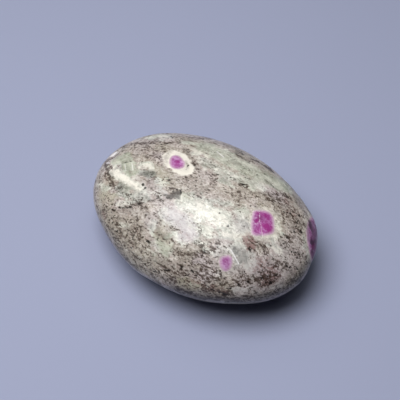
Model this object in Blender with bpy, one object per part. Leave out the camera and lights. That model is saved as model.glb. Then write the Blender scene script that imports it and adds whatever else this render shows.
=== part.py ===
# Ruby in albite palm stone: one hand-sized piece of rock, ground and polished to a flattened oval.
# Metres, +Z up. The origin is the middle of the resting spot, and +X runs along the stone's length.

import math

import bmesh
import bpy
import numpy as np

# Driving dimensions of the finished stone
LENGTH = 0.0650
WIDTH = 0.0472
HEIGHT = 0.0251

# Share of the oval's height that is ground off the underside as the flat resting spot
REST_SHARE = 0.012

# Subdivisions of the starting ball: its facets end up about 1.8 mm across
BALL_LEVEL = 5

# Hand grinding leaves the oval slightly uneven. Each swell (+) or hollow (-) lies in a direction
# from the stone's middle: turn about Z from +X, and lift above the middle plane, in degrees.
# The spread is an angle in degrees, and the rise is in metres.
SWELLS = {
    "ruby_at_the_edge": {"turn": 35, "lift": 7, "spread": 10, "rise": 0.00060},
    "below_the_edge_ruby": {"turn": 8, "lift": -3, "spread": 5, "rise": -0.00046},
    "front_belly": {"turn": -97, "lift": -13, "spread": 11, "rise": 0.00028},
    "front_left_flat": {"turn": -127, "lift": -5, "spread": 11, "rise": -0.00046},
    "front_right_flat": {"turn": -49, "lift": -15, "spread": 10, "rise": -0.00034},
    "far_right_flat": {"turn": 63, "lift": 13, "spread": 11, "rise": -0.00020},
    "far_left_shoulder": {"turn": 144, "lift": 20, "spread": 10, "rise": 0.00026},
    "back_flat": {"turn": 112, "lift": -26, "spread": 16, "rise": -0.00036},
    "under_right_swell": {"turn": 8, "lift": -42, "spread": 17, "rise": 0.00034},
    "under_left_hollow": {"turn": -168, "lift": -38, "spread": 15, "rise": -0.00030},
}

# Small steps in the polished skin: where a cleaved flake left the rim, and where softer mica wore
# away faster than the albite round it. They use the same measures as the swells.
DINTS = {
    "rim_chip": {"turn": -178, "lift": 25, "spread": 3.2, "rise": -0.00030},
    "mica_lens_hollow": {"turn": -126, "lift": 74, "spread": 4.0, "rise": -0.00010},
    "edge_ruby_nick": {"turn": 15, "lift": 16, "spread": 2.6, "rise": -0.00016},
    "front_rim_dint": {"turn": -88, "lift": -14, "spread": 4.0, "rise": -0.00024},
}

# Colour and finish of the polished rock
STONE_COLOR = (0.40, 0.37, 0.33, 1.0)
STONE_ROUGHNESS = 0.32


def clear_scene():
    for obj in list(bpy.data.objects):
        bpy.data.objects.remove(obj, do_unlink=True)


def stone_material():
    """Polished albite rock: a dielectric with a soft satin shine."""
    material = bpy.data.materials.new("polished_albite_rock")
    material.use_nodes = True
    shader = material.node_tree.nodes["Principled BSDF"]
    shader.inputs["Base Color"].default_value = STONE_COLOR
    shader.inputs["Roughness"].default_value = STONE_ROUGHNESS
    shader.inputs["Metallic"].default_value = 0.0
    material.diffuse_color = STONE_COLOR
    return material


def direction(turn, lift):
    """Unit vector that is turned about Z from +X and lifted above the middle plane."""
    turn, lift = math.radians(turn), math.radians(lift)
    return np.array([math.cos(lift) * math.cos(turn), math.cos(lift) * math.sin(turn), math.sin(lift)])


def unit_ball():
    mesh = bmesh.new()
    bmesh.ops.create_icosphere(mesh, subdivisions=BALL_LEVEL, radius=1.0)
    return mesh


def oval_with_swells(ball):
    """Stretches the unit ball to the oval, then moves each point out along its own ray by the swells."""
    half = np.array([LENGTH, WIDTH, HEIGHT]) / 2
    rays = np.array([vertex.co for vertex in ball.verts])
    rays /= np.linalg.norm(rays, axis=1, keepdims=True)
    rise = np.zeros(len(rays))
    for swell in [*SWELLS.values(), *DINTS.values()]:
        away = np.arccos(np.clip(rays @ direction(swell["turn"], swell["lift"]), -1, 1))
        rise += swell["rise"] * np.exp(-0.5 * (away / math.radians(swell["spread"])) ** 2)
    points = rays * half
    points += points / np.linalg.norm(points, axis=1, keepdims=True) * rise[:, None]
    for vertex, point in zip(ball.verts, points):
        vertex.co = point


def grind_resting_spot(stone):
    """Cuts the underside off level, and closes the cut with one flat face."""
    lowest = min(vertex.co.z for vertex in stone.verts)
    cut_z = lowest + REST_SHARE * HEIGHT
    cut = bmesh.ops.bisect_plane(
        stone,
        geom=[*stone.verts, *stone.edges, *stone.faces],
        plane_co=(0, 0, cut_z),
        plane_no=(0, 0, -1),
        clear_outer=True,
    )
    rim = [item for item in cut["geom_cut"] if isinstance(item, bmesh.types.BMEdge)]
    spot = bmesh.ops.contextual_create(stone, geom=rim)
    spot["faces"][0].smooth = False


def fit_to_size(stone):
    """Gives the stone its exact size, with the middle of its underside at the origin."""
    points = np.array([vertex.co for vertex in stone.verts])
    low, high = points.min(axis=0), points.max(axis=0)
    middle = np.array([(low[0] + high[0]) / 2, (low[1] + high[1]) / 2, low[2]])
    points = (points - middle) * np.array([LENGTH, WIDTH, HEIGHT]) / (high - low)
    for vertex, point in zip(stone.verts, points):
        vertex.co = point


def palm_stone():
    shape = unit_ball()
    for face in shape.faces:
        face.smooth = True
    oval_with_swells(shape)
    grind_resting_spot(shape)
    fit_to_size(shape)
    bmesh.ops.recalc_face_normals(shape, faces=shape.faces)
    mesh = bpy.data.meshes.new("palm_stone")
    shape.to_mesh(mesh)
    shape.free()
    mesh.materials.append(stone_material())
    stone = bpy.data.objects.new("palm_stone", mesh)
    bpy.context.scene.collection.objects.link(stone)
    return stone


clear_scene()
palm_stone()
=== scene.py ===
import math

import bpy
import numpy as np
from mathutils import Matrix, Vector


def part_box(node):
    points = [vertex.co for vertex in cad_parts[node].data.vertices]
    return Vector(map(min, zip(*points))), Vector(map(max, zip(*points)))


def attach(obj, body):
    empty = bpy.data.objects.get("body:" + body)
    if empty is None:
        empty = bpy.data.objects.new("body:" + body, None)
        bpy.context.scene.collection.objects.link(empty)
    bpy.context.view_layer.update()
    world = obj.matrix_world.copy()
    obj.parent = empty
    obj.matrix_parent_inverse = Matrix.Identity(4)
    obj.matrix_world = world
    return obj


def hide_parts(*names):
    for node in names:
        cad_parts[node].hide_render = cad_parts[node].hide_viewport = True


# A palm stone of ruby in albite: the CAD oval is dressed with a fine skin of its own, whose markings
# are painted as attributes along strokes, and whose grain is worked out in the material.
# Lengths here are in mm, and each mesh is turned to metres when it is made.

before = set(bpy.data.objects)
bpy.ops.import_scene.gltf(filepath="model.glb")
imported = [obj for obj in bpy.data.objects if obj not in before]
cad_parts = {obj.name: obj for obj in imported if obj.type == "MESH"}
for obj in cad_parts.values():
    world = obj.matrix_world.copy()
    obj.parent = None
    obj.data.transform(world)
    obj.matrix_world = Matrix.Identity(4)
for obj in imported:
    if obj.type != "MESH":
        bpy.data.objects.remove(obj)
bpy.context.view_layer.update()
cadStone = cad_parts["palm_stone"]
mm = 0.001

print("stage: camera")

cameraPlace = {
    "turn": 34.4,  # degrees round the stone, from looking along its width
    "lift": 54.0,  # degrees above the floor
    "distance": 298.7,  # to the point on the floor that it looks at
    "aimRight": -0.69,  # that point, to the right of the stone's origin
    "aimAway": 14.31,  # and beyond it
    "imageSize": 400,  # pixels, both ways
    "focalPixels": 1039.7,
    "sensor": 36.0,  # mm wide
    "clipStart": 10,
}


def unit(vectors):
    return vectors / np.linalg.norm(vectors, axis=-1, keepdims=True)


# Unit vector that is turned about Z from +X and lifted above the middle plane, in degrees
def direction(turn, lift):
    turn, lift = math.radians(turn), math.radians(lift)
    return np.array([math.cos(lift) * math.cos(turn), math.cos(lift) * math.sin(turn), math.sin(lift)])


viewBack = direction(cameraPlace["turn"] - 90, cameraPlace["lift"])
viewRight = direction(cameraPlace["turn"], 0)
viewAway = direction(cameraPlace["turn"] + 90, 0)
viewUp = np.cross(viewBack, viewRight)
aim = viewRight * cameraPlace["aimRight"] + viewAway * cameraPlace["aimAway"]
eye = aim + viewBack * cameraPlace["distance"]


def intoScene(name, data):
    thing = bpy.data.objects.new(name, data)
    bpy.context.scene.collection.objects.link(thing)
    return thing


def placeCamera():
    data = bpy.data.cameras.new("camera")
    data.sensor_width = cameraPlace["sensor"]
    data.lens = cameraPlace["sensor"] * cameraPlace["focalPixels"] / cameraPlace["imageSize"]
    data.clip_start = cameraPlace["clipStart"] * mm
    camera = intoScene("camera", data)
    camera.location = Vector(eye) * mm
    camera.rotation_euler = Vector(viewBack).to_track_quat("Z", "Y").to_euler()
    bpy.context.scene.camera = camera


placeCamera()

print("stage: skin of the stone")

# The same swells as in the CAD oval: degrees of turn, lift and spread, and the rise in mm
stoneForm = {
    "restShare": 0.012,  # of the height, ground off the underside
    "cells": 126,  # on each edge of the six grids that wrap it
    "crowding": 0.30,  # draws the grid's points together on the upper side, where the fine markings are
    "swells": {
        "rubyAtTheEdge": (35, 7, 10, 0.60),
        "belowTheEdgeRuby": (8, -3, 5, -0.46),
        "frontBelly": (-97, -13, 11, 0.28),
        "frontLeftFlat": (-127, -5, 11, -0.46),
        "frontRightFlat": (-49, -15, 10, -0.34),
        "farRightFlat": (63, 13, 11, -0.20),
        "farLeftShoulder": (144, 20, 10, 0.26),
        "backFlat": (112, -26, 16, -0.36),
        "underRightSwell": (8, -42, 17, 0.34),
        "underLeftHollow": (-168, -38, 15, -0.30),
        "rimChip": (-178, 25, 3.2, -0.30),
        "micaLensHollow": (-126, 74, 4.0, -0.10),
        "edgeRubyNick": (15, 16, 2.6, -0.16),
        "frontRimDint": (-88, -14, 4.0, -0.24),
    },
}

stoneLow, stoneHigh = (np.array(corner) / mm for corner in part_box("palm_stone"))
halfSize = (stoneHigh - stoneLow) / 2
stoneMiddle = (stoneLow + stoneHigh) / 2


# Rays from a ball's middle: six square grids in even steps of angle, folded round it as a cube, then
# drawn towards one side. Returns the rays and the quads between them, which point outwards.
def ballGrid(cells, crowding):
    steps = np.tan(np.linspace(-math.pi / 4, math.pi / 4, cells + 1))
    across, along = np.meshgrid(steps, steps, indexing="ij")
    corner = np.arange((cells + 1) ** 2).reshape(cells + 1, cells + 1)
    quad = np.stack([corner[:-1, :-1], corner[1:, :-1], corner[1:, 1:], corner[:-1, 1:]], axis=-1)
    rays = []
    quads = []
    for axis in range(3):
        for side in (1, -1):
            grid = np.empty((corner.size, 3))
            grid[:, axis] = side
            grid[:, (axis + 1) % 3] = across.ravel()
            grid[:, (axis + 2) % 3] = along.ravel()
            quads.append(quad.reshape(-1, 4)[:, ::side] + len(rays) * corner.size)
            rays.append(grid)
    rays = unit(np.concatenate(rays))
    places = np.round(rays * 1e6).astype(int)
    _, first, welded = np.unique(places, axis=0, return_index=True, return_inverse=True)
    rays = unit(rays[first] + crowding * unit(viewBack + viewUp))
    return rays, welded.ravel()[np.concatenate(quads)]


# The oval: each ray times the half sizes, moved out along itself by the sum of the swells, where a
# swell falls off as a bell curve of the angle from its direction. The underside is cut off level.
def onStone(rays):
    points = rays * halfSize
    rise = np.zeros(len(rays))
    for turn, lift, spread, height in stoneForm["swells"].values():
        angle = np.degrees(np.arccos(np.clip(rays @ direction(turn, lift), -1, 1)))
        rise += height * np.exp(-0.5 * (angle / spread) ** 2)
    points = points + unit(points) * rise[:, None]
    cut = points[:, 2].min() + stoneForm["restShare"] * 2 * halfSize[2]
    points[:, 2] = np.maximum(points[:, 2], cut)
    return points


waveCount = 40  # enough for a cloud without visible ripples


# Smooth random field of about unit spread: a sum of plane waves of random direction and phase,
# longer along the stone where the grain is drawn out
def cloud(points, size, seed, drawnOut=1.0):
    picks = np.random.default_rng(seed)
    waves = unit(picks.normal(size=(waveCount, 3))) * picks.uniform(0.6, 1.5, (waveCount, 1))
    waves *= math.tau / size
    waves[:, 0] /= drawnOut
    phases = picks.uniform(0, math.tau, waveCount)
    return np.sin(points @ waves.T + phases).sum(axis=1) / math.sqrt(waveCount / 2)


# 0 below the first edge, 1 past the second, and an S curve between them
def smooth(low, high, values):
    share = np.clip((values - low) / (high - low), 0, 1)
    return share * share * (3 - 2 * share)


rays, quads = ballGrid(stoneForm["cells"], stoneForm["crowding"])
skin = onStone(rays)
skin -= (skin.min(axis=0) + skin.max(axis=0)) / 2
skin = skin * 2 * halfSize / np.ptp(skin, axis=0) + stoneMiddle
outward = unit((skin - stoneMiddle) / halfSize**2)
facing = (unit(eye - skin) * outward).sum(axis=1)
hidden = smooth(0.22, -0.05, facing)  # 0 on the side that the photograph shows, 1 on the hidden side

print("stage: markings")


# The point of the stone that shows at a pixel of the photograph. Past the outline it is the nearest
# point of the rim, so a mark there still lies on the stone.
def underPixel(pixel):
    across, down = (np.array(pixel) - cameraPlace["imageSize"] / 2) / cameraPlace["focalPixels"]
    beam = unit(viewRight * across - viewUp * down - viewBack)
    found, place, _, _ = cadStone.ray_cast(Vector(eye * mm), Vector(beam))
    if not found:
        closest = eye + beam * ((stoneMiddle - eye) @ beam)
        _, place, _, _ = cadStone.closest_point_on_mesh(Vector(closest * mm))
    return np.array(place) / mm


# The point of the stone in a direction from its middle, for the sides that the photograph hides
def inDirection(turnLift):
    beam = unit(direction(*turnLift) * halfSize)
    outside = stoneMiddle + beam * 3 * halfSize[0]
    _, place, _, _ = cadStone.ray_cast(Vector(outside * mm), Vector(-beam))
    return np.array(place) / mm


seenStep = 3.0  # pixels from one point of a path to the next
unseenStep = 4.0  # degrees, for the paths that are given as directions


# A path on the stone through a few stops, with a point at about every step between them. Stops are
# pixels of the photograph, or degrees of turn and lift where "unseen" stands before them.
def pathThrough(stops):
    find, step = underPixel, seenStep
    if stops[0] == "unseen":
        find, step, stops = inDirection, unseenStep, stops[1:]
    stops = np.array(stops, float)
    path = [find(stops[0])]
    for start, end in zip(stops[:-1], stops[1:]):
        count = max(1, round(np.linalg.norm(end - start) / step))
        path += [find(start + (end - start) * (index + 1) / count) for index in range(count)]
    return np.array(path)


far = 50.0  # mm, for what is out of a mark's reach
noEdge = 9.0  # mm, the distance to an edge where there is none near


# Distance from each point to a path: the least of those to its straight pieces, and far beyond reach
def distanceTo(path, reach):
    distance = np.full(len(skin), far)
    close = ((skin > path.min(axis=0) - reach) & (skin < path.max(axis=0) + reach)).all(axis=1)
    near = skin[close]
    best = distance[close]
    ends = path[1:] if len(path) > 1 else path
    for start, end in zip(path, ends):
        piece = end - start
        share = np.clip((near - start) @ piece / max(piece @ piece, 1e-9), 0, 1)
        best = np.minimum(best, np.linalg.norm(near - start - share[:, None] * piece, axis=1))
    distance[close] = best
    return distance


frayed = 0.28 * cloud(skin, 2.4, 31, 1.4) + 0.16 * cloud(skin, 1.1, 32, 1.4)  # mm by which edges wander
frayReach = 1.5  # the most that it comes to


# Brush strokes: the values move to each mark's amount inside its width, with a soft and frayed edge
# that wanders less on a thin mark. Where marks overlap, a later one covers an earlier one.
def paint(values, marks):
    for amount, wide, soft, *stops in marks.values():
        distance = distanceTo(pathThrough(stops), wide + soft + frayReach)
        distance += frayed * min(1.2, wide + 0.2)
        cover = smooth(wide + soft, wide - soft, distance)
        values = values + (amount - values) * cover
    return values


# Thin marks: distance from each point to the nearest one's edge, minus inside it. Broad ones are frayed.
def edgeOf(lines):
    nearest = np.full(len(skin), noEdge)
    for wide, *stops in lines:
        distance = distanceTo(pathThrough(stops), wide + frayReach) - wide
        nearest = np.minimum(nearest, distance + frayed * smooth(0.1, 0.7, wide))
    return nearest


# A mark is its amount, its half width and the softness of its edge in mm, and the stops of the path
# along its middle. A thin line is its half width and its stops.

# How much of the rock is pale albite (1) and how much is the grey-brown grainy matrix (0)
albiteMarks = {
    "highBand": (0.82, 3.0, 1.2, (206, 147), (224, 156), (247, 169), (270, 180), (284, 186)),
    "highBandFoot": (0.78, 1.7, 0.9, (203, 161), (226, 174), (248, 183), (262, 187)),
    "highCream": (1.0, 0.8, 0.5, (195, 153), (206, 155)),
    "mintPatch": (1.0, 0.9, 0.5, (226, 151), (231, 154)),
    "topRim": (1.0, 1.4, 0.6, (152, 138), (160, 135.5), (168, 137)),
    "topPink": (0.84, 0.8, 0.6, (184, 142.6), (198, 144)),
    "middle": (1.0, 2.6, 1.0, (184, 204), (200, 207), (214, 214), (226, 224)),
    "middleSpeckled": (0.78, 2.3, 1.0, (165, 214), (184, 222), (206, 230)),
    "middleFoot": (0.90, 1.1, 0.7, (176, 234), (184, 242)),
    "middleEnd": (1.0, 1.5, 0.8, (222, 232), (234, 236), (247, 235.6)),
    "middleTop": (0.86, 1.0, 0.7, (206, 200.6), (228, 203)),
    "besideEyeRuby": (0.88, 1.9, 1.2, (241, 212), (244, 230)),
    "rightOfEyeRuby": (0.85, 0.8, 0.5, (277, 222), (281, 234), (272, 240)),
    "greenCrystals": (1.0, 1.9, 0.4, (117, 161), (124, 157), (128, 168), (132, 172)),
    "creamBand": (1.2, 1.1, 0.4, (113.6, 170), (120, 175.6), (131, 182), (139, 188), (144, 192)),
    "whitePatch": (1.0, 0.9, 0.5, (141, 165), (146, 164), (152, 167)),
    "greySpot": (0.95, 1.0, 0.5, (141, 172.6), (152, 174)),
    "greySpotTwo": (0.90, 0.8, 0.6, (120, 187), (130, 189)),
    "leftBlob": (0.90, 1.2, 0.5, (157, 181), (163, 183)),
    "leftCloud": (0.92, 1.3, 0.8, (119, 188), (128, 196), (144, 199)),
    "lilacPatch": (0.72, 1.0, 0.6, (156, 193), (164, 194)),
    "creamAboveRidge": (0.90, 0.8, 0.4, (184, 194), (191, 194)),
    "leftEnd": (0.70, 0.9, 0.6, (99, 184), (104, 188), (110, 187)),
    "leftCream": (0.85, 0.7, 0.4, (117, 204), (124, 204), (132, 202)),
    "lowPinkPatch": (0.62, 0.9, 0.6, (121, 225), (129, 226)),
    "lowCream": (0.95, 0.9, 0.5, (154, 224), (151, 232)),
    "lowGreen": (0.76, 1.8, 0.9, (155, 244), (167, 250)),
    "lowStreak": (0.90, 0.8, 0.6, (195, 240), (206, 246.6), (213, 254)),
    "yellowPatch": (0.80, 1.1, 0.8, (222, 247), (229, 249)),
    "mintLens": (1.3, 0.9, 0.4, (237, 244), (244, 248)),
    "greyCrystal": (1.4, 1.3, 0.4, (234, 250), (238, 255), (240, 261)),
    "frontPale": (0.82, 1.3, 0.8, (247, 263), (250, 256), (254, 263)),
    "belowSmallRuby": (0.55, 0.9, 0.8, (219, 274), (234, 270)),
    "rightWhite": (1.0, 1.1, 0.5, (273, 247), (277, 251)),
    "rightPale": (0.42, 1.3, 1.0, (284, 258), (294, 246)),
    "besideEdgeRuby": (0.80, 0.8, 0.4, (304, 236), (306, 248), (308, 257)),
    "frontRim": (0.50, 0.9, 0.7, (250, 290), (266, 289), (280, 286)),
    "lowPatch": (0.60, 0.8, 0.6, (235, 288.4), (244, 289.6)),
    "midBand": (0.85, 0.8, 0.6, (220, 180), (230, 184)),
    "topPatch": (0.70, 0.6, 0.5, (158, 140), (166, 140)),
    "lowWhite": (0.85, 0.5, 0.3, (190, 284), (197, 285)),
    "backBand": (0.85, 2.2, 1.4, "unseen", (104, 8), (122, -10), (150, -18), (172, -26)),
    "underBand": (0.90, 1.5, 1.0, "unseen", (-160, -50), (-120, -62), (-82, -46)),
    "underEnd": (0.80, 1.9, 1.2, "unseen", (-8, -30), (12, -36), (24, -24)),
}

# How closely the dark mica grains are packed; along the lower rim they are also packed closer as painted
# shade
micaMarks = {
    "upperLeft": (0.52, 2.2, 1.2, (136, 148), (158, 150), (156, 160)),
    "upperLeftRim": (0.75, 0.9, 0.6, (136, 144), (150, 142)),
    "topDark": (0.95, 0.5, 0.4, (160, 145), (170, 143)),
    "rimBrown": (0.65, 0.9, 0.5, (176, 137), (210, 139)),
    "besideHalo": (0.52, 0.8, 0.6, (188, 150), (194, 160), (197, 172), (184, 178)),
    "highCream": (-0.05, 1.2, 0.7, (193, 149), (200, 153), (206, 159)),
    "olivePatch": (0.66, 0.8, 0.6, (210, 174), (214, 176), (214, 184)),
    "ridge": (0.34, 1.2, 0.9, (182, 180), (200, 192), (218, 191), (240, 196)),
    "ridgeBrown": (0.60, 0.8, 0.7, (232, 193), (240, 206)),
    "ridgeSpots": (0.82, 0.6, 0.5, (239, 184), (246, 186)),
    "right": (0.64, 3.0, 1.4, (276, 199), (288, 212), (296, 224)),
    "rightDark": (0.80, 1.0, 0.7, (278, 193), (288, 197)),
    "rightFoot": (0.68, 1.2, 0.8, (281, 236), (288, 243)),
    "rightLow": (0.56, 1.2, 1.0, (286, 253), (298, 256), (292, 266)),
    "belowRust": (0.82, 0.9, 0.6, (254, 249), (264, 250), (259, 247)),
    "rust": (0.66, 0.7, 0.7, (249, 241), (251, 245)),
    "leftBand": (0.92, 0.7, 0.6, (105, 160), (107, 171), (111, 179.6), (117, 189)),
    "greySpot": (0.62, 0.9, 0.5, (141, 173), (151, 174)),
    "leftCloud": (0.66, 0.9, 0.8, (118, 188), (130, 196), (142, 199)),
    "lens": (0.85, 0.8, 0.3, (170, 196), (178, 193)),
    "vein": (0.84, 0.22, 0.40, (100, 211), (113, 209), (126, 207), (137, 204.5), (148, 201.5),
             (158, 199.5), (168, 198)),
    "veinFoot": (0.60, 0.5, 0.6, (101, 216), (106, 215)),
    "veinSmudge": (0.85, 0.5, 0.5, (138, 206), (146, 208)),
    "lowerLeft": (0.55, 4.0, 1.8, (110, 220), (126, 238), (146, 258)),
    "lowerLeftDark": (0.74, 1.4, 1.1, (110, 217), (118, 230), (134, 236)),
    "veinGap": (0.36, 0.6, 0.6, (108, 213.8), (116, 215)),
    "lowPalePatches": (0.34, 0.6, 1.0, (123, 228), (134, 242), (146, 254), (158, 265)),
    "lowerEdge": (0.62, 3.4, 1.8, (172, 272), (205, 274), (238, 282)),
    "lowerEdgeDark": (0.84, 1.3, 1.0, (204, 288), (216, 292), (228, 294)),
    "lowPatch": (0.25, 0.8, 0.6, (236, 288.4), (244, 289.6)),
    "midBand": (0.12, 0.9, 0.6, (220, 180), (230, 184)),
    "topPink": (0.12, 0.7, 0.6, (184, 142.6), (198, 143.6)),
    "lowBrown": (0.84, 0.8, 0.7, (234, 279), (243, 280)),
    "rightSpot": (0.84, 0.7, 0.6, (291, 236.6), (294, 241)),
    "rightGap": (0.34, 0.6, 0.6, (287, 221), (289, 225)),
    # partly dark mica and partly painted shade: grains packed closer along the down-facing lower rim
    "shadedLowerRim": (0.78, 1.3, 1.0, (180, 292), (206, 298), (236, 300), (262, 297), (282, 290), (300, 276)),
    "belowMiddle": (0.82, 0.9, 0.7, (182, 255), (196, 254.6), (202, 251), (206, 258)),
    "belowPale": (0.16, 0.6, 0.6, (188, 248.6), (193, 249.4)),
    "topGap": (0.10, 0.5, 0.5, (159, 139), (165, 139)),
    "cluster": (0.95, 1.4, 0.9, (257, 278), (265, 274), (272, 276), (268, 283)),
    "clusterRight": (0.80, 0.9, 0.8, (271, 261), (282, 267)),
    "farRim": (0.70, 0.9, 0.7, (238, 152), (243, 160)),
    "ridgeDark": (0.62, 0.5, 0.6, (190, 197.6), (199, 197)),
    "ridgeEnd": (0.82, 0.7, 0.7, (240, 195), (246, 199)),
    "rightPatches": (0.25, 0.8, 0.7, (271, 203), (272, 205)),
    "rightPatchesTwo": (0.22, 0.7, 0.6, (301, 237), (300, 241)),
    "rightPatchesThree": (0.25, 0.6, 0.6, (291, 260), (296, 262)),
    "rimLine": (0.90, 0.7, 0.5, (254, 160), (264, 165), (272, 171)),
    "highBand": (0.18, 2.2, 1.0, (215, 148), (222, 164), (246, 176), (276, 184)),
    "middle": (0.02, 3.0, 1.0, (186, 208), (206, 214), (232, 226)),
    "middleEnd": (0.0, 1.1, 0.8, (228, 234), (240, 236), (246, 234)),
    "middleSpeckled": (0.24, 2.0, 1.0, (164, 213), (170, 212), (182, 222), (190, 232)),
    "crystals": (-0.10, 2.4, 0.8, (118, 160), (128, 168), (132, 180), (140, 188)),
    "whitePatch": (-0.10, 1.1, 0.5, (142, 165), (150, 166)),
    "frontPale": (0.24, 1.4, 0.8, (246, 263), (250, 257), (254, 268)),
    "greyCrystal": (-0.20, 1.4, 0.5, (235, 249), (238, 254), (240, 261)),
    "backVein": (1.05, 0.25, 0.35, "unseen", (-158, 12), (-172, -8), (-188, -26), (-210, -42)),
    "underDark": (0.74, 2.2, 1.6, "unseen", (64, -38), (30, -60), (-16, -54)),
    "backDark": (0.76, 1.8, 1.4, "unseen", (84, -12), (128, -34)),
    "frontDark": (0.70, 1.8, 1.4, "unseen", (-112, -20), (-70, -26), (-40, -20)),
}

# Tint: above 0 sage where the albite is and olive where the matrix is, and below 0 lilac
tintMarks = {
    "greenCrystals": (0.80, 1.9, 0.8, (116, 160), (126, 157), (128, 166), (132, 172)),
    "olive": (1.0, 1.6, 1.2, (101, 197), (112, 198)),
    "highBand": (0.55, 3.6, 1.6, (204, 147), (246, 168), (284, 184)),
    "farRight": (0.90, 1.5, 1.0, (270, 174), (283, 184)),
    "lowGreen": (0.80, 2.0, 1.2, (160, 234), (166, 248)),
    "lowRim": (1.0, 1.2, 0.8, (118, 246), (134, 264), (148, 274)),
    "lowOlive": (1.0, 1.6, 1.0, (184, 283), (196, 286)),
    "rightOlive": (0.9, 1.3, 0.9, (284, 286), (297, 281), (303, 266)),
    "mint": (0.60, 1.4, 0.8, (236, 246), (244, 250), (252, 257)),
    "besideEyeRuby": (0.5, 0.9, 0.7, (262, 205), (279, 222), (280, 234)),
    "middle": (0.05, 2.6, 1.6, (188, 208), (206, 212), (222, 226)),
    "middleSpeckled": (-0.9, 2.2, 1.2, (166, 210), (180, 220), (188, 234)),
    "lilacPatch": (-0.8, 1.0, 0.8, (156, 193), (166, 195)),
    "belowMiddle": (-0.6, 1.8, 1.2, (200, 260), (216, 268), (206, 276)),
    "lowerLeft": (0.45, 3.6, 2.0, (104, 212), (118, 235), (150, 264)),
    "lowerRight": (-0.40, 4.6, 2.4, (226, 256), (262, 270), (290, 256)),
    "leftMiddle": (-0.35, 2.0, 1.6, (150, 182), (162, 206), (150, 222)),
    "cluster": (-0.8, 2.6, 1.4, (262, 268), (276, 280)),
    "frontRim": (-0.5, 1.4, 1.0, (240, 286), (262, 288), (282, 284)),
    "backBand": (0.6, 3.0, 1.6, "unseen", (104, 8), (122, -10), (150, -18)),
    "underLilac": (-0.6, 2.4, 1.6, "unseen", (-110, -46), (-60, -40)),
}
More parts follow.
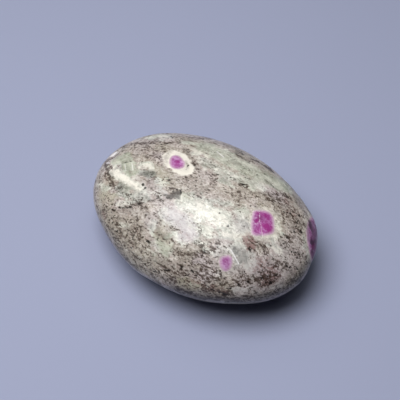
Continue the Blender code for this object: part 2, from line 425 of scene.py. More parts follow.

# Lighter (+) and darker (-) places; the darkening along the lower rim is painted shade
toneMarks = {
    "middleBright": (0.10, 1.8, 1.6, (206, 214), (218, 222)),
    "middleSpeckled": (-0.10, 1.8, 1.4, (166, 210), (180, 222), (190, 230)),
    "lens": (-0.34, 0.8, 0.25, (170, 196), (178, 193)),
    "greySpot": (-0.44, 1.1, 0.6, (142, 174), (147, 173), (153, 174.6)),
    "greySpotTwo": (-0.38, 0.6, 0.7, (119, 186), (124, 188), (129, 190)),
    "crystals": (-0.20, 1.2, 0.7, (118, 157), (130, 158), (120, 165), (132, 171)),
    # painted shade: the lower rim, which faces down and away from the lamps, is darkened
    "shadedLowerRim": (-0.34, 2.2, 1.5, (176, 290), (206, 297), (240, 300), (266, 296), (286, 286), (302, 270)),
    "speckledShade": (-0.12, 2.0, 1.6, (170, 212), (186, 222)),
    "lowRimLight": (0.02, 0.9, 0.9, (176, 284), (196, 286)),
    "leftMiddle": (-0.12, 1.0, 1.0, (140, 194), (150, 188), (162, 186)),
    "leftMiddleTwo": (-0.12, 0.7, 0.8, (132, 211), (142, 213)),
    "aboveSmallRuby": (-0.36, 0.5, 0.5, (223, 252.8), (229, 253.8)),
    "rightRim": (-0.24, 0.9, 0.7, (292, 194), (300, 204), (306, 214)),
    "belowHalo": (-0.12, 1.6, 1.4, (172, 180), (196, 184)),
    "frontShade": (-0.15, 2.4, 1.6, (240, 258), (262, 268)),
    "rightShade": (-0.05, 2.0, 1.4, (286, 250), (299, 266)),
    "smallRuby": (-0.17, 1.4, 0.8, (223, 258), (228, 268)),
    "highLightTwo": (0.12, 0.25, 0.4, (214.6, 151), (224, 157.6)),
    "highDark": (-0.16, 0.4, 0.4, (211, 151.6), (217, 155)),
    "highDarkTwo": (-0.12, 0.4, 0.4, (204, 145), (210, 147)),
    "highDarkThree": (-0.24, 0.6, 0.5, (232, 161), (239, 164)),
    "highDarkFour": (-0.16, 0.4, 0.4, (241, 171), (246, 176), (253, 179)),
    "highDarkFive": (-0.14, 0.4, 0.4, (268, 182), (276, 189)),
    "highLightThree": (0.07, 0.5, 0.5, (230, 171), (239, 178)),
    "rib": (0.10, 0.15, 0.3, (124, 164), (125, 172)),
    "ribTwo": (0.10, 0.15, 0.3, (132, 163), (133.6, 173)),
    "crystalSide": (-0.20, 0.2, 0.3, (136, 162), (137, 176)),
    "highShade": (-0.12, 0.8, 0.8, (220, 180), (252, 181)),
    "farRight": (-0.16, 1.5, 1.0, (268, 174), (280, 182)),
    "lowShade": (-0.30, 0.8, 0.7, (157, 226), (160, 234), (165, 238)),
    "cluster": (-0.20, 2.0, 1.2, (262, 274), (270, 282)),
    "creamBand": (0.08, 0.8, 0.4, (112.6, 169.6), (120, 175.6), (132, 182), (141, 189)),
    "edgeRuby": (-0.50, 2.2, 0.8, "unseen", (30, 16), (22, 13), (15, 8)),
    "edgeRubyTop": (-0.78, 0.6, 0.35, (309.2, 220.6), (309.8, 225), (311, 230)),
    "edgeRubyDark": (-0.78, 0.45, 0.35, (310.4, 243.4), (312.6, 241.6), (315, 241)),
    "edgeRubyDarkTwo": (-0.74, 0.6, 0.4, (311.4, 252), (313, 256)),
    "edgeRubyDarkThree": (-0.66, 0.2, 0.3, (313, 231), (312, 236)),
    "edgeRubyPale": (-0.36, 0.3, 0.35, (313, 223), (314.6, 230)),
    "edgeRubyEdge": (-0.42, 0.3, 0.3, (307.8, 229), (308.4, 240), (309.6, 248)),
    "edgeRubyLow": (-0.30, 1.6, 1.2, "unseen", (32, 0), (22, -3), (14, 0)),
    "besideEyeRuby": (-0.16, 1.4, 1.0, (236, 220), (243, 229)),
    "belowCreamBand": (-0.16, 1.0, 0.8, (124, 192), (134, 196), (143, 200)),
    # painted shade: the lower right end of the rim, which faces down and away from the lamps, is darkened
    "shadedRightEnd": (-0.36, 1.4, 0.9, (308, 258), (306, 267), (299, 278)),
    "clusterFoot": (-0.22, 1.4, 0.9, (252, 280), (262, 285)),
    "clusterRight": (-0.16, 1.4, 0.9, (272, 262), (280, 268)),
    "ridgePale": (0.10, 1.2, 1.0, (214, 181), (232, 190), (256, 197)),
    "belowEyeRuby": (-0.14, 0.9, 0.7, (256, 238), (272, 243)),
    "haloLeft": (-0.14, 0.6, 0.6, (170, 152.6), (165.4, 157), (168, 165)),
    "haloSpots": (-0.16, 0.4, 0.5, (186, 163), (187, 169)),
    "vein": (-0.12, 0.3, 0.4, (100, 211), (126, 207), (148, 201.5), (168, 198)),
    "greyCrystal": (-0.44, 1.25, 0.25, (236.4, 250.4), (239.4, 255.4), (241.4, 260.6)),
    "leftDark": (-0.24, 0.4, 0.5, (163, 199.4), (169, 199.6)),
    "ridgeDark": (-0.20, 0.7, 0.6, (194, 192), (199, 198)),
    "belowRust": (-0.16, 0.5, 0.6, (240, 242.6), (254, 250.4), (262, 250.6)),
    "farBand": (-0.22, 0.5, 0.5, (238, 159.6), (241, 161)),
    "lowDark": (-0.18, 0.6, 0.6, (167, 252), (172, 254)),
    "underCluster": (-0.36, 0.7, 0.7, (270, 287), (276, 285.2), (282, 283)),
    "mintLens": (-0.16, 0.5, 0.4, (238, 246.6), (244, 248.6)),
    "ridgeEnd": (-0.20, 0.5, 0.5, (197, 187.6), (202, 191)),
    "lowCreamShade": (-0.20, 0.5, 0.5, (153, 219.6), (156, 223)),
    "besideBand": (-0.28, 0.5, 0.5, (131, 188), (136, 192), (142, 195)),
    "leftCloud": (-0.20, 0.8, 0.7, (118, 190), (127, 197), (144, 200)),
    "ridgeFoot": (-0.20, 0.6, 0.6, (187, 199), (194, 201)),
    "midStreak": (-0.26, 0.5, 0.5, (199, 250), (203, 252)),
    "farRim": (-0.20, 0.5, 0.5, (284, 186), (292, 191)),
    "bandTop": (-0.22, 0.4, 0.5, (107, 171), (112, 175)),
    "greySpotFoot": (-0.20, 0.6, 0.6, (139, 179), (145, 181.6)),
    "veinBrown": (-0.20, 0.5, 0.6, (118, 219), (123, 220)),
    "rightRimTwo": (-0.30, 0.5, 0.5, (295, 200), (301, 208)),
    "rightHigh": (-0.20, 0.6, 0.6, (276, 212), (280, 216)),
}

rustMarks = {
    "belowEyeRuby": (0.90, 1.35, 0.9, (246.6, 239), (249, 241), (251.4, 245)),
    "leftEnd": (0.60, 0.5, 0.4, (103, 213), (105, 218)),
    "cluster": (0.55, 2.0, 1.4, (262, 264), (274, 276), (266, 282)),
    "lowerEdge": (0.40, 0.9, 1.0, (190, 282), (212, 289), (226, 293)),
    "leftSide": (0.40, 0.6, 0.6, (104, 176), (108, 184)),
    "rightSide": (0.35, 1.4, 1.2, (286, 200), (294, 214)),
}

# Smooth grey-brown plates of mica that lie flat in the polish, and grey-brown painted shade along the
# lower rim
plateMarks = {
    "lens": (0.85, 0.85, 0.5, (169, 196.4), (174, 194), (179, 192)),
    "besideHalo": (0.55, 0.5, 0.5, (186.6, 149), (188, 155)),
    "belowChip": (0.55, 0.7, 0.6, (106, 163), (108, 170)),
    "farRim": (0.50, 0.7, 0.5, (237, 153), (243, 159)),
    # painted shade: grey-brown along the bottom of the rim, which faces down
    "shadedLowerRim": (0.55, 0.9, 0.8, (186, 296), (212, 299.5), (240, 300.5)),
}

# Black biotite specks: the pixel of the middle, and the radius in pixels
blackSpecks = {
    "upperLeft": [(153.7, 143.4, 0.8), (165.2, 148, 0.7), (162.8, 153, 1.0), (136, 180.3, 0.7),
                  (143, 184.6, 1.2), (145, 188, 1.0), (168.6, 180.5, 0.9), (157, 172, 0.6),
                  (142.5, 161.5, 0.7)],
    "nearTheHalo": [(187, 177, 1.1), (192, 176.5, 0.8), (192, 161.7, 0.7), (194.6, 165.5, 0.8),
                    (194.5, 170, 0.8), (184.6, 149, 0.8)],
    "highBand": [(211.6, 164.3, 0.8), (212.5, 175, 1.2), (218, 174.5, 1.0), (230.5, 177.2, 0.9),
                 (257, 175, 0.9), (253, 170.2, 0.7), (256, 171.6, 0.6), (249.5, 161.5, 0.8),
                 (243.5, 184.5, 1.1), (215.3, 179.6, 0.7)],
    "leftEnd": [(130.5, 194.6, 0.9), (142, 193.4, 0.8), (112.5, 209.4, 0.7), (114.7, 210, 0.7),
                (156.8, 198.6, 0.9), (170.5, 198.8, 0.9)],
    "lowerLeft": [(109, 219.6, 1.0), (112.4, 222.6, 0.9), (117.4, 226.4, 0.9), (117, 231.5, 1.1),
                  (120.4, 231, 0.8), (127.5, 233.4, 1.0), (144.8, 222.6, 0.7), (132.6, 242, 0.6),
                  (148, 241.6, 1.1), (157, 223, 0.9)],
    "below": [(172.3, 251.6, 0.9), (181.5, 267.3, 1.2), (193, 272.4, 1.6), (196.5, 275.8, 0.9),
              (186, 262.4, 1.0), (188.5, 257.6, 0.7), (198.6, 291.6, 0.8), (208.6, 282.6, 1.3),
              (214.5, 257, 0.7), (205.5, 262.5, 0.7), (201.5, 255, 0.6), (224.5, 278.6, 0.7),
              (238.6, 285, 1.0), (216.6, 273.4, 0.5), (248, 282, 0.9)],
    "middle": [(219.6, 213, 0.8), (227.6, 226, 1.0), (215.6, 244, 0.8), (217.6, 247, 0.6),
               (208.6, 242.5, 0.5)],
    "right": [(237, 204.6, 1.0), (250.7, 206.2, 0.7), (251, 250, 1.5), (271, 246.2, 1.1),
              (262.4, 247, 0.7), (294.4, 231.3, 1.1), (301.5, 232.3, 1.3), (290.6, 213, 0.8),
              (287.5, 237.6, 0.8), (299.5, 216, 1.3), (273.3, 261.5, 0.7), (259, 264.5, 0.6),
              (262, 270, 0.9), (244.6, 271.6, 0.9), (241.6, 268, 0.5), (282.6, 269, 0.7)],
    "cluster": [(266, 282.5, 1.4), (270.4, 283, 1.5), (275.6, 275.5, 1.0), (276, 286.4, 1.0),
                (260.4, 284.6, 0.9), (262, 278, 0.9), (268, 276.5, 0.9)],
}

# Black dashes: the half width in mm, and the stops along the middle
blackDashes = {
    "leftEnd": [(0.22, (108, 160.5), (113, 158), (118.6, 153.8)),
                (0.10, (118.5, 166), (124.5, 162.6), (131, 161.4))],
    "top": [(0.14, (161, 144.7), (163.6, 144)), (0.14, (166.2, 143.7), (168.6, 143.2)),
            (0.20, (170, 135.6), (173, 138)), (0.0, (195.5, 158.2), (201, 157.6), (205.6, 158.8)),
            (0.05, (211.6, 152), (216.6, 153)), (0.10, (188.4, 165), (187.6, 167)),
            (0.06, (186.4, 168.6), (186.2, 169.4))],
    "highBand": [(0.08, (212.5, 165), (216, 166.4), (221, 168.2)),
                 (0.12, (245, 177.3), (249, 178.8), (253, 179.2)), (0.14, (240.4, 150.6), (243.6, 154.6)),
                 (0.08, (240.6, 156.6), (243, 158.6)), (0.12, (271.4, 184.4), (275.4, 189))],
    "lens": [(0.04, (171, 192), (176, 189.6), (181, 190)), (0.14, (181.2, 189.6), (181, 193)),
             (0.14, (167, 197.6), (172, 198)), (0.05, (203.6, 194.6), (207.6, 194.6), (210.6, 195.8))],
    "vein": [(0.18, (119.5, 207.6), (122, 207.8)), (0.20, (127, 207.6), (131, 207)),
             (0.14, (137, 204.6), (140, 203.6)), (0.12, (136.6, 213), (136.4, 215.4))],
    "lowerLeft": [(0.16, (135, 232.6), (134, 235.6), (132.6, 238.6)), (0.12, (129, 247.2), (132, 248.6)),
                  (0.12, (131.6, 252.2), (134.6, 254.4), (139.4, 258.6)),
                  (0.08, (142, 261), (145, 264.4), (149, 266.4)), (0.16, (153, 271.4), (159.6, 272)),
                  (0.24, (163.6, 270), (169.6, 270.6))],
    "below": [(0.14, (185.4, 275.2), (188, 274.4)), (0.12, (205, 285.6), (209, 287.6), (214, 290.6)),
              (0.18, (217.4, 291.8), (222, 293.6), (228, 295.4)), (0.16, (226.4, 288.4), (231, 289)),
              (0.10, (219, 283), (225.6, 285.2)), (0.16, (204, 249.6), (204.8, 252.8)),
              (0.35, (249.6, 249), (252, 250))],
    "right": [(0.16, (298, 220.4), (296, 227)), (0.12, (283.6, 231), (283, 235.4)),
              (0.16, (281, 245), (286, 242)), (0.16, (284, 212), (289, 213)),
              (0.14, (284.6, 194), (289, 198)), (0.16, (291.4, 251.6), (295, 252.2), (299.6, 254)),
              (0.16, (297, 257.6), (301, 259)), (0.18, (286, 265.2), (288.6, 267.4), (292, 267)),
              (0.18, (296.6, 266.8), (298, 270))],
}

# White cleavage cracks and glints
whiteLines = {
    "chip": (0.55, (109, 157.6), (113.6, 154.4)),
    "chipFoot": (0.14, (107, 163), (109.4, 163)),
    "cleavageTop": (-0.02, (225, 241.6), (228, 245.6), (230.6, 249.6)),
    "cleavage": (0.08, (230.6, 249.6), (232.6, 253), (235, 257), (238.6, 263.6)),
    "smallRubyDots": (0.05, (232.6, 259), (233.8, 259.8)),
    "bandGlint": (0.08, (216.6, 151.4), (223.6, 157)),
    "crystalRib": (0.0, (125, 164), (126, 171)),
    "crystalRibTwo": (0.0, (132, 163), (133, 170)),
    "eyeCrack": (-0.02, (259.3, 211), (259.5, 222)),
    "eyeCrackLow": (-0.03, (260.6, 223.4), (261.4, 230), (262.6, 237)),
    "eyeCrackAcross": (-0.06, (254, 224), (257, 223.4), (260.6, 223.2)),
}

# What there is before any mark: a mean, how far it varies on the seen and on the hidden side, and the
# size in mm, the seed and the drawing out of the cloud that it varies by
grounds = {
    "albite": dict(mean=0.20, seen=0.06, hidden=0.30, size=6, seed=3, drawnOut=1.8),
    "mica": dict(mean=0.36, seen=0.10, hidden=0.20, size=5, seed=4, drawnOut=1.8),
    "tint": dict(mean=0.05, seen=0.22, hidden=0.22, size=7, seed=5, drawnOut=1.5),
    "tone": dict(mean=0.0, seen=0.05, hidden=0.05, size=2.6, seed=6, drawnOut=1.6),
    "plate": dict(mean=-0.05, seen=0.12, hidden=0.12, size=4, seed=7, drawnOut=1.8),
    "rubyTone": dict(mean=0.50, seen=0.10, hidden=0.28, size=1.6, seed=8, drawnOut=1.0),
}
micaThinned = 0.20  # share of the albite by which its mica is thinned


def ground(name):
    look = grounds[name]
    spread = look["seen"] + (look["hidden"] - look["seen"]) * hidden
    return look["mean"] + spread * cloud(skin, look["size"], look["seed"], look["drawnOut"])


albite = paint(ground("albite"), albiteMarks)
mica = paint(ground("mica"), micaMarks) - micaThinned * albite
tint = paint(ground("tint"), tintMarks)
tone = paint(ground("tone"), toneMarks)
rust = paint(np.zeros(len(skin)), rustMarks)
plate = paint(ground("plate"), plateMarks)
pixelSize = cameraPlace["distance"] / cameraPlace["focalPixels"]  # mm of the stone under one pixel
blackLines = [
    (radius * pixelSize, (across, down))
    for spots in blackSpecks.values()
    for across, down, radius in spots
]
blackLines += [dash for dashes in blackDashes.values() for dash in dashes]
blackEdge = edgeOf(blackLines)
whiteEdge = edgeOf(whiteLines.values())

print("stage: rubies")

# Each ruby is a crystal cut across by the polish. "outline" is in photograph pixels, in order round
# it, and "rim" is the same for its halo of pale albite. "roundOutline" is in degrees of turn and lift.
rubyCrystals = {
    "cloveRuby": dict(
        outline=[(170, 157.5), (174, 154.8), (179.5, 155.6), (183, 159), (185.6, 163), (184.6, 167.5),
                 (179.5, 169.6), (174.5, 169.4), (170, 167), (168.8, 162)],
        rim=[(163.2, 155), (169, 151.6), (175, 149.6), (180.5, 151.8), (184.6, 154.4), (188.6, 159.4),
             (192, 163.6), (194.2, 169), (192.6, 172.8), (188, 174), (184, 175.4), (178.5, 173.8),
             (173, 171.6), (168.4, 168), (165, 163.4), (163, 159)],
        halo=1.0,
    ),
    "eyeRuby": dict(
        outline=[(252.4, 212), (255, 210), (264, 210), (270.5, 212.4), (274, 217), (275, 231),
                 (272.4, 234.4), (263, 236.4), (255, 236.4), (250.8, 234), (250.6, 222)],
        rim=[(250, 208.5), (263, 206), (273, 208.5), (280, 218), (282, 232), (276, 240), (262, 242),
             (252, 238.5), (248.5, 222)],
        halo=0.45,
    ),
    "smallRuby": dict(
        outline=[(219.4, 258), (223, 255.4), (229, 254.6), (232.6, 257.4), (233, 262.6), (231, 269),
                 (226.6, 272), (222, 270.6), (219, 265)],
        halo=0.30,
    ),
    "edgeRuby": dict(
        roundOutline=[(36, 18), (31, 23), (24, 26), (17, 25), (12, 20), (8.6, 14), (7.6, 7), (9, -2),
                      (16, -9), (26, -10), (34, -5), (39, 4), (39, 12)],
        halo=0.30,
    ),
    "backRuby": dict(
        roundOutline=[(112, 6), (116, 17), (122, 19), (127, 8), (123, -5), (115, -6)],
        halo=0.70,
    ),
    "frontRuby": dict(
        roundOutline=[(-147, -21), (-140, -15), (-133, -20), (-132, -34), (-140, -41), (-147, -34)],
        halo=0.40,
    ),
    "underRuby": dict(
        roundOutline=[(-78, -58), (-56, -49), (-36, -54), (-32, -68), (-60, -75), (-84, -69)],
        halo=0.80,
    ),
    "underLeftRuby": dict(
        roundOutline=[(153, -42), (160, -34), (167, -40), (165, -50), (156, -50)],
        halo=0.30,
    ),
}
haloWidth = 0.85  # mm, where a crystal has no rim of its own
haloSoft = 0.35  # mm either side of its edge
haloFrayed = 0.8  # share of the wander of other edges
aroundCrystal = 2.5  # mm past its corners, as far as its edge is worked out


# Corners of a closed outline are cut twice, each time at a fifth of the way from either end of a side
def rounded(outline, cut=0.2):
    for _ in range(2):
        following = np.roll(outline, -1, axis=0)
        side = following - outline
        outline = np.stack([outline + side * cut, following - side * cut], axis=1).reshape(-1, 2)
    return outline


# Distance in from a closed outline, and minus outside it, measured in the plane that touches the
# stone at the outline's middle: the least distance to its sides, signed by how often a ray crosses it
def insetFrom(corners):
    centre = corners.mean(axis=0)
    normal = unit((centre - stoneMiddle) / halfSize**2)
    across = unit(np.cross(normal, (0, 1, 0)))
    plane = np.stack([across, np.cross(normal, across)], axis=1)
    outline = rounded((corners - centre) @ plane)
    reach = np.linalg.norm(outline, axis=1).max() + aroundCrystal
    close = (np.linalg.norm(skin - centre, axis=1) < reach) & (outward @ normal > 0)
    flat = (skin[close] - centre) @ plane
    distance = np.full(len(flat), far)
    inside = np.zeros(len(flat), bool)
    for start, end in zip(outline, np.roll(outline, -1, axis=0)):
        side = end - start
        share = np.clip((flat - start) @ side / (side @ side), 0, 1)
        distance = np.minimum(distance, np.linalg.norm(flat - start - share[:, None] * side, axis=1))
        level = (flat[:, 1] - start[1]) / (side[1] or 1e-9)
        inside ^= (level > 0) & (level <= 1) & (flat[:, 0] < start[0] + level * side[0])
    inset = np.full(len(skin), -noEdge)
    inset[close] = np.where(inside, distance, -distance)
    return inset


rubyInset = np.full(len(skin), -noEdge)
halo = np.zeros(len(skin))
for crystal in rubyCrystals.values():
    corners = [underPixel(pixel) for pixel in crystal.get("outline", [])]
    corners += [inDirection(turnLift) for turnLift in crystal.get("roundOutline", [])]
    inset = insetFrom(np.array(corners))
    rubyInset = np.maximum(rubyInset, inset)
    rimInset = inset + haloWidth
    if "rim" in crystal:
        rimInset = insetFrom(np.array([underPixel(pixel) for pixel in crystal["rim"]]))
    cover = smooth(-haloSoft, haloSoft, rimInset + haloFrayed * frayed)
    halo = np.maximum(halo, crystal["halo"] * cover)

# Cream bands and spots that are as pale as the halos
creamMarks = {
    "leftBand": (0.75, 0.95, 0.5, (113, 170), (121, 176.5), (131, 182.5), (139, 188)),
    "whitePatch": (0.74, 0.85, 0.6, (141, 167), (146, 166.4), (151, 168)),
    "topRim": (0.55, 0.7, 0.5, (154, 137.6), (160, 135.6), (168, 137)),
    "high": (0.62, 0.8, 0.6, (193, 150.6), (200, 153.6), (206, 155.6)),
    "middleEnd": (0.55, 0.8, 0.7, (226, 234), (236, 236), (246, 233.6)),
    "middle": (0.45, 1.8, 1.0, (196, 206), (208, 213), (222, 222)),
    "veinTop": (0.45, 0.5, 0.4, (118, 204), (125, 204)),
    "rightWhite": (0.45, 0.9, 0.5, (273, 247), (277, 251)),
    "cloveLeft": (0.62, 0.5, 0.7, (171, 151), (164.6, 156), (166.6, 165)),
    "cloveInner": (0.35, 0.35, 0.4, (185.6, 162), (188.4, 168)),
    "cloveBottom": (1.1, 0.5, 0.4, (192.6, 167), (190, 173), (182, 174.6)),
}
halo = paint(halo, creamMarks)

# How deep the ruby's magenta is
rubyToneMarks = {
    "cloveEdge": (0.60, 0.4, 0.5, (171, 158), (171.4, 165), (175, 168.4), (182, 167.6)),
    "cloveTop": (0.0, 0.35, 0.5, (174.4, 157.6), (177.6, 159.6)),
    "cloveRight": (0.15, 0.4, 0.5, (181.4, 161.4), (183.6, 164.4)),
    "cloveHeart": (0.85, 0.4, 0.5, (177.4, 161.6), (178.4, 165)),
    "eyeHighRight": (0.70, 0.9, 0.8, (262, 213), (270, 218), (262, 221)),
    "eyeHighStreak": (1.05, 0.30, 0.3, (265, 214.6), (267.4, 219.4), (265.4, 223.6)),
    "eyeHighLeft": (0.40, 0.5, 0.5, (253.6, 213), (253.6, 221)),
    "eyeHighLeftDark": (1.10, 0.35, 0.3, (258.2, 217), (257.4, 221.6), (255, 222.4)),
    "eyeHighLeftTop": (0.85, 0.3, 0.3, (256, 212.4), (258, 213.6)),
    "eyeLowLeft": (0.42, 0.8, 0.5, (254, 226), (257, 228), (254, 233)),
    "eyeLowLeftDark": (0.80, 0.2, 0.3, (258.6, 225.6), (258.8, 229.4)),
    "eyeLowLeftFoot": (0.75, 0.2, 0.3, (256.4, 232), (258.6, 233)),
    "eyeLowRight": (0.95, 1.0, 0.7, (265, 226.4), (269, 227), (271, 231)),
    "eyeLowRightHeart": (1.15, 0.4, 0.4, (266, 227), (268, 227.6)),
    "eyeLowRightGlint": (0.30, 0.1, 0.25, (270.2, 224.6), (272.4, 225.4)),
    "eyeRightFringe": (0.10, 0.15, 0.35, (273.4, 218), (274.6, 230)),
    "smallHeart": (0.48, 0.5, 0.6, (226.6, 262), (226.4, 267)),
    "smallTop": (0.90, 0.10, 0.3, (221.4, 258.4), (224, 256.4), (229.6, 255.6)),
    "smallLeft": (0.10, 0.6, 0.5, (222, 260), (223, 267)),
    "smallRight": (0.15, 0.3, 0.4, (230.4, 257), (230.4, 266)),
    "edgeTop": (0.30, 0.6, 0.5, "unseen", (32, 17), (27, 17)),
    "edgeMiddle": (0.75, 0.6, 0.6, "unseen", (22, 15), (19, 12)),
    "edgeLow": (1.15, 1.0, 0.6, "unseen", (17, 11), (12, 6)),
    "edgeFringe": (0.0, 0.4, 0.4, (307.6, 229), (308.4, 240), (309.6, 248)),
    "edgeSeam": (0.0, 0.10, 0.25, "unseen", (15, 17), (13.4, 13), (14, 9)),
    "edgeSeamTwo": (0.20, 0.10, 0.3, "unseen", (20, 6), (35, 10)),
    "edgeBack": (0.95, 0.9, 0.7, "unseen", (31, 6), (27, 3)),
    "backSeam": (0.15, 0.10, 0.3, "unseen", (118, 16), (121, -3)),
    "underSeam": (0.15, 0.10, 0.3, "unseen", (-70, -54), (-48, -70)),
}
rubyTone = paint(ground("rubyTone"), rubyToneMarks)

relief = {
    "ruby": 0.06,  # mm that the hard crystals stand proud of the polish
    "rubySlope": (-0.1, 0.5),  # mm in from their edge, over which they rise
    "vein": -0.05,  # and the black marks lie below it
    "veinSlope": (0.25, -0.1),  # mm out from their edge, over which they sink
    "wave": 0.012,
}
rise = relief["ruby"] * smooth(*relief["rubySlope"], rubyInset)
rise += relief["vein"] * smooth(*relief["veinSlope"], blackEdge)
rise += relief["wave"] * cloud(skin, 3.0, 21)
skin = skin + outward * rise[:, None]
skin[:, 2] = np.maximum(skin[:, 2], 0)

stoneMesh = bpy.data.meshes.new("palmStoneSkin")
stoneMesh.from_pydata((skin * mm).tolist(), [], quads.tolist())
stoneMesh.shade_smooth()
attributes = {
    "albite": albite,
    "mica": mica,
    "tint": tint,
    "tone": tone,
    "rust": rust,
    "plate": plate,
    "blackEdge": blackEdge,
    "whiteEdge": whiteEdge,
    "rubyInset": rubyInset,
    "halo": halo,
    "rubyTone": rubyTone,
}
for name, values in attributes.items():
    stoneMesh.attributes.new(name, "FLOAT", "POINT").data.foreach_set("value", values.astype(np.float32))
stone = intoScene("palmStoneSkin", stoneMesh)

print("stage: materials")


# sRGB hex colour to linear RGBA
def hexColor(text):
    parts = [int(text[index : index + 2], 16) / 255 for index in (1, 3, 5)]
    return [part / 12.92 if part <= 0.04045 else ((part + 0.055) / 1.055) ** 2.4 for part in parts] + [1.0]


# Adds a node and gives back the output that is asked for: inputs are values or the sockets that feed
# them, settings are the node's own properties
def addNode(tree, kind, inputs=None, give=0, **settings):
    node = tree.nodes.new("ShaderNode" + kind)
    for name, value in settings.items():
        setattr(node, name, value)
    for key, value in (inputs or {}).items():
        if isinstance(value, bpy.types.NodeSocket):
            tree.links.new(value, node.inputs[key])
        else:
            node.inputs[key].default_value = value
    return node.outputs[give]


rockLook = {
    "grain": 0.34,  # mm across one mineral grain
    "flake": 0.75,  # and across the crystals that several grains make up
    "dot": 0.55,  # and from one speck of mica to the next
    "drawnOut": 1.5,  # how much longer both are along the stone
    "streak": 3.0,  # and how much longer the clusters of mica are
    "bend": 0.25,  # mm by which the grains' edges wander
    "matrixDark": "#6f655e",
    "matrixMid": "#a0978f",
    "matrixPale": "#cdc6bf",
    "olive": "#938f78",
    "lilac": "#b9b0b6",
    "mica": "#37281f",
    "albiteGrey": "#83847b",
    "albiteMid": "#b8b8af",
    "albitePale": "#dad8cf",
    "sage": "#a3a890",
    "halo": "#d6d1c6",
    "rust": "#7d5f5c",
    "plate": "#655f5a",
    "black": "#17120f",
    "white": "#dedbdb",
    "rubyDeep": "#862c70",
    "rubyMid": "#995a8f",
    "rubyPale": "#bd93bb",
    "rubyRim": "#b89fae",
    "brightness": 0.95,  # of all the rock's colours, where the tone is even
    "gloss": (0.28, 0.42),  # roughness of the albite and of the mica
    "bump": 0.10,
    "bumpDepth": 0.1,  # mm
    "ior": 1.53,
    "specular": 0.40,
}


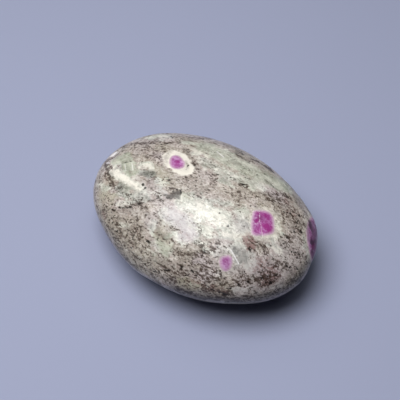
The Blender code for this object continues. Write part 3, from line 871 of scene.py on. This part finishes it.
# Ruby in albite rock, sawn, tumbled and polished: pale albite and grey-brown matrix with dark mica
# grains and magenta ruby crystals, under an even satin polish that is a little duller on the mica.
# Colours lie over each other in layers. A layer's mask is a weighted sum of painted marks, grain
# picks and noise, which shows from 0 to "most" as the sum goes from its low to its high value.
def rockMaterial():
    material = bpy.data.materials.new("polished ruby in albite rock")
    material.use_nodes = True
    tree = material.node_tree
    shader = tree.nodes["Principled BSDF"]
    colors = {name: hexColor(value) for name, value in rockLook.items() if str(value).startswith("#")}
    painted = {
        name: addNode(tree, "Attribute", None, "Fac", attribute_name=name) for name in attributes
    }

    # Object coordinates in mm, drawn out along the stone: plainly, for the grains and for the streaks
    place = addNode(tree, "TexCoord", None, "Object")
    stretches = (1.0, rockLook["drawnOut"], rockLook["streak"])
    plain, drawn, streaked = (
        addNode(tree, "Mapping", {"Vector": place, "Scale": (1 / mm / longer, 1 / mm, 1 / mm)})
        for longer in stretches
    )
    ripple = addNode(tree, "TexNoise", {"Vector": plain, "Scale": 1.2, "Detail": 1.0}, "Color")
    bend = {0: ripple, 1: (rockLook["bend"] * 2,) * 3, 2: drawn}
    bent = addNode(tree, "VectorMath", bend, operation="MULTIPLY_ADD")

    # Three random picks for each grain, and three for each crystal
    picks = []
    for size in (rockLook["grain"], rockLook["flake"]):
        cell = addNode(tree, "TexVoronoi", {"Vector": bent, "Scale": 1 / size}, "Color")
        picks += [addNode(tree, "SeparateColor", {0: cell}, channel) for channel in range(3)]
    grainA, grainB, grainC, flakeA, flakeB, flakeC = picks
    noises = ((drawn, 2.6, 3.0), (drawn, 0.5, 5.0), (streaked, 0.8, 3.0), (streaked, 0.9, 2.0))
    fine, broad, clusters, threads = (
        addNode(tree, "TexNoise", {"Vector": vector, "Scale": perMm, "Detail": detail}, "Fac")
        for vector, perMm, detail in noises
    )

    # A mask from its parts and weights, and a colour under such layers
    def mask(parts, low, high, most=1.0):
        total = 0.0
        for part, weight in parts:
            product = {0: part, 1: weight, 2: total}
            total = addNode(tree, "Math", product, operation="MULTIPLY_ADD")
        return addNode(tree, "MapRange", {0: total, 1: low, 2: high, 4: most})

    def layered(color, layers):
        for share, over in layers:
            color = addNode(tree, "Mix", {0: share, 6: color, 7: over}, 2, data_type="RGBA")
        return color

    sage = mask([(painted["tint"], 0.6)], 0.0, 1.0)
    lilac = mask([(painted["tint"], -0.6)], 0.0, 1.0)
    shade = [(grainB, 1.0), (fine, 1.4), (flakeB, 0.35), (painted["mica"], -0.8)]
    cloudy = [(broad, 1.0), (grainB, 0.30), (flakeB, 0.06), (fine, 0.40)]
    matrix = layered(
        colors["matrixDark"],
        [
            (mask(shade, 0.05, 0.95), colors["matrixMid"]),
            (mask(shade, 0.95, 1.95), colors["matrixPale"]),
            (sage, colors["olive"]),
            (lilac, colors["lilac"]),
        ],
    )
    albiteRock = layered(
        colors["albiteGrey"],
        [
            (mask(cloudy, 0.60, 0.86), colors["albiteMid"]),
            (mask(cloudy, 0.86, 1.12), colors["albitePale"]),
            (sage, colors["sage"]),
            (lilac, colors["lilac"]),
        ],
    )
    threads = addNode(tree, "Math", {0: threads, 1: 0.5}, operation="SUBTRACT")
    threads = addNode(tree, "Math", {0: threads}, operation="ABSOLUTE")
    dots = addNode(tree, "TexVoronoi", {"Vector": bent, "Scale": 1 / rockLook["dot"]}, "Distance")
    gathered = [(painted["mica"], 1.0), (clusters, 1.2), (threads, -2.0)]
    gathered += [(fine, 0.6), (grainA, -0.80), (dots, -0.6)]
    darkGrain = mask(gathered, 0.49, 0.91, 0.90)
    depth = [(painted["rubyTone"], 1.0), (fine, 0.9), (grainB, 0.3), (flakeB, 0.3)]
    ruby = layered(
        colors["rubyPale"],
        [
            (mask(depth, 0.75, 1.25), colors["rubyMid"]),
            (mask(depth, 1.25, 1.75), colors["rubyDeep"]),
            (mask([(painted["rubyInset"], -1.0), (fine, -0.6)], -1.20, -0.40), colors["rubyRim"]),
        ],
    )
    paleRock = [(painted["albite"], 1.0), (fine, 0.7), (flakeC, 0.25), (grainC, 0.25)]
    stain = [(painted["rust"], 1.0), (fine, 1.0), (grainC, 0.55), (flakeA, 0.35)]
    smoothMica = [(painted["plate"], 1.0), (fine, 1.1), (grainB, 0.5)]
    cream = [(painted["halo"], 1.0), (fine, 0.8), (grainB, 0.25)]
    biotite = [(painted["blackEdge"], 1.0), (grainA, 0.30), (fine, 0.3)]
    color = layered(
        matrix,
        [
            (mask(paleRock, 0.88, 1.38), albiteRock),
            (mask(stain, 1.05, 1.75, 0.85), colors["rust"]),
            (darkGrain, colors["mica"]),
            (mask(smoothMica, 1.05, 1.75, 0.85), colors["plate"]),
            (mask(cream, 0.65, 1.45), colors["halo"]),
            (mask(biotite, 0.40, 0.20, 0.92), colors["black"]),
            (mask([(painted["rubyInset"], 1.0), (fine, 0.6)], 0.18, 0.50), ruby),
        ],
    )
    brightness = addNode(tree, "Math", {0: painted["tone"], 1: rockLook["brightness"]}, operation="ADD")
    color = addNode(tree, "VectorMath", {0: color, "Scale": brightness}, operation="SCALE")
    white = mask([(painted["whiteEdge"], 1.0), (fine, 0.25)], 0.30, 0.10, 0.85)
    color = layered(color, [(white, colors["white"])])
    bright, dull = rockLook["gloss"]
    roughness = addNode(tree, "MapRange", {0: darkGrain, 3: bright, 4: dull})
    grit = {"Height": fine, "Strength": rockLook["bump"], "Distance": rockLook["bumpDepth"] * mm}
    bump = addNode(tree, "Bump", grit)
    tree.links.new(color, shader.inputs["Base Color"])
    tree.links.new(roughness, shader.inputs["Roughness"])
    tree.links.new(bump, shader.inputs["Normal"])
    shader.inputs["IOR"].default_value = rockLook["ior"]
    shader.inputs["Specular IOR Level"].default_value = rockLook["specular"]
    return material


stoneMesh.materials.append(rockMaterial())
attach(stone, "root")
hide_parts("palm_stone")

print("stage: floor and light")

studio = {
    "floor": "#8a8fa6",
    "floorSize": 3000,
    "floorRoughness": 0.9,
    "sky": "#c9cfdd",
    "skyStrength": 0.02,
    "backdrop": "#74788a",
    # Round lamps: which way they stand from the stone (to the right, away, up, as the camera sees it),
    # how far, their radius, their power per area, and whether they light matt surfaces or show in gloss
    "lamps": {
        "softbox": dict(lean=(-0.26, -0.06, 1.0), distance=400, radius=150, power=9.4, rays="matt"),
        "ceiling": dict(lean=(-0.20, 0.20, 1.0), distance=2400, radius=1890, power=0.87, rays="matt"),
        "glossPanel": dict(lean=(-0.18, 0.18, 1.0), distance=400, radius=125, power=6.0, rays="gloss"),
    },
}


def makeFloor():
    half = studio["floorSize"] / 2 * mm
    mesh = bpy.data.meshes.new("floor")
    corners = [(-half, -half, 0), (half, -half, 0), (half, half, 0), (-half, half, 0)]
    mesh.from_pydata(corners, [], [(0, 1, 2, 3)])
    floor = intoScene("floor", mesh)
    # Plain grey-blue paint, rolled on, with no shine
    material = bpy.data.materials.new("matt painted floor")
    material.use_nodes = True
    shader = material.node_tree.nodes["Principled BSDF"]
    shader.inputs["Base Color"].default_value = hexColor(studio["floor"])
    shader.inputs["Roughness"].default_value = studio["floorRoughness"]
    mesh.materials.append(material)


def makeLight():
    world = bpy.data.worlds.new("studio")
    world.use_nodes = True
    tree = world.node_tree
    # The sky lights the stone faintly, and past the floor's edge a plain backdrop is seen in its place
    faint = {"Color": hexColor(studio["sky"]), "Strength": studio["skyStrength"]}
    light = addNode(tree, "Background", faint)
    backdrop = addNode(tree, "Background", {"Color": hexColor(studio["backdrop"])})
    seenByEye = addNode(tree, "LightPath", None, "Is Camera Ray")
    both = addNode(tree, "MixShader", {0: seenByEye, 1: light, 2: backdrop})
    tree.links.new(both, tree.nodes["World Output"].inputs["Surface"])
    bpy.context.scene.world = world
    for name, look in studio["lamps"].items():
        lamp = bpy.data.lights.new(name, "AREA")
        lamp.shape = "DISK"
        lamp.size = 2 * look["radius"] * mm
        lamp.energy = look["power"] * math.pi * math.pi * (look["radius"] * mm) ** 2
        holder = intoScene(name, lamp)
        right, away, up = look["lean"]
        towards = unit(viewRight * right + viewAway * away + np.array([0, 0, up]))
        holder.location = Vector((stoneMiddle + towards * look["distance"]) * mm)
        holder.rotation_euler = Vector(towards).to_track_quat("Z", "Y").to_euler()
        holder.visible_glossy = look["rays"] == "gloss"
        holder.visible_diffuse = look["rays"] == "matt"


makeFloor()
makeLight()
bpy.context.scene.view_settings.view_transform = "Standard"
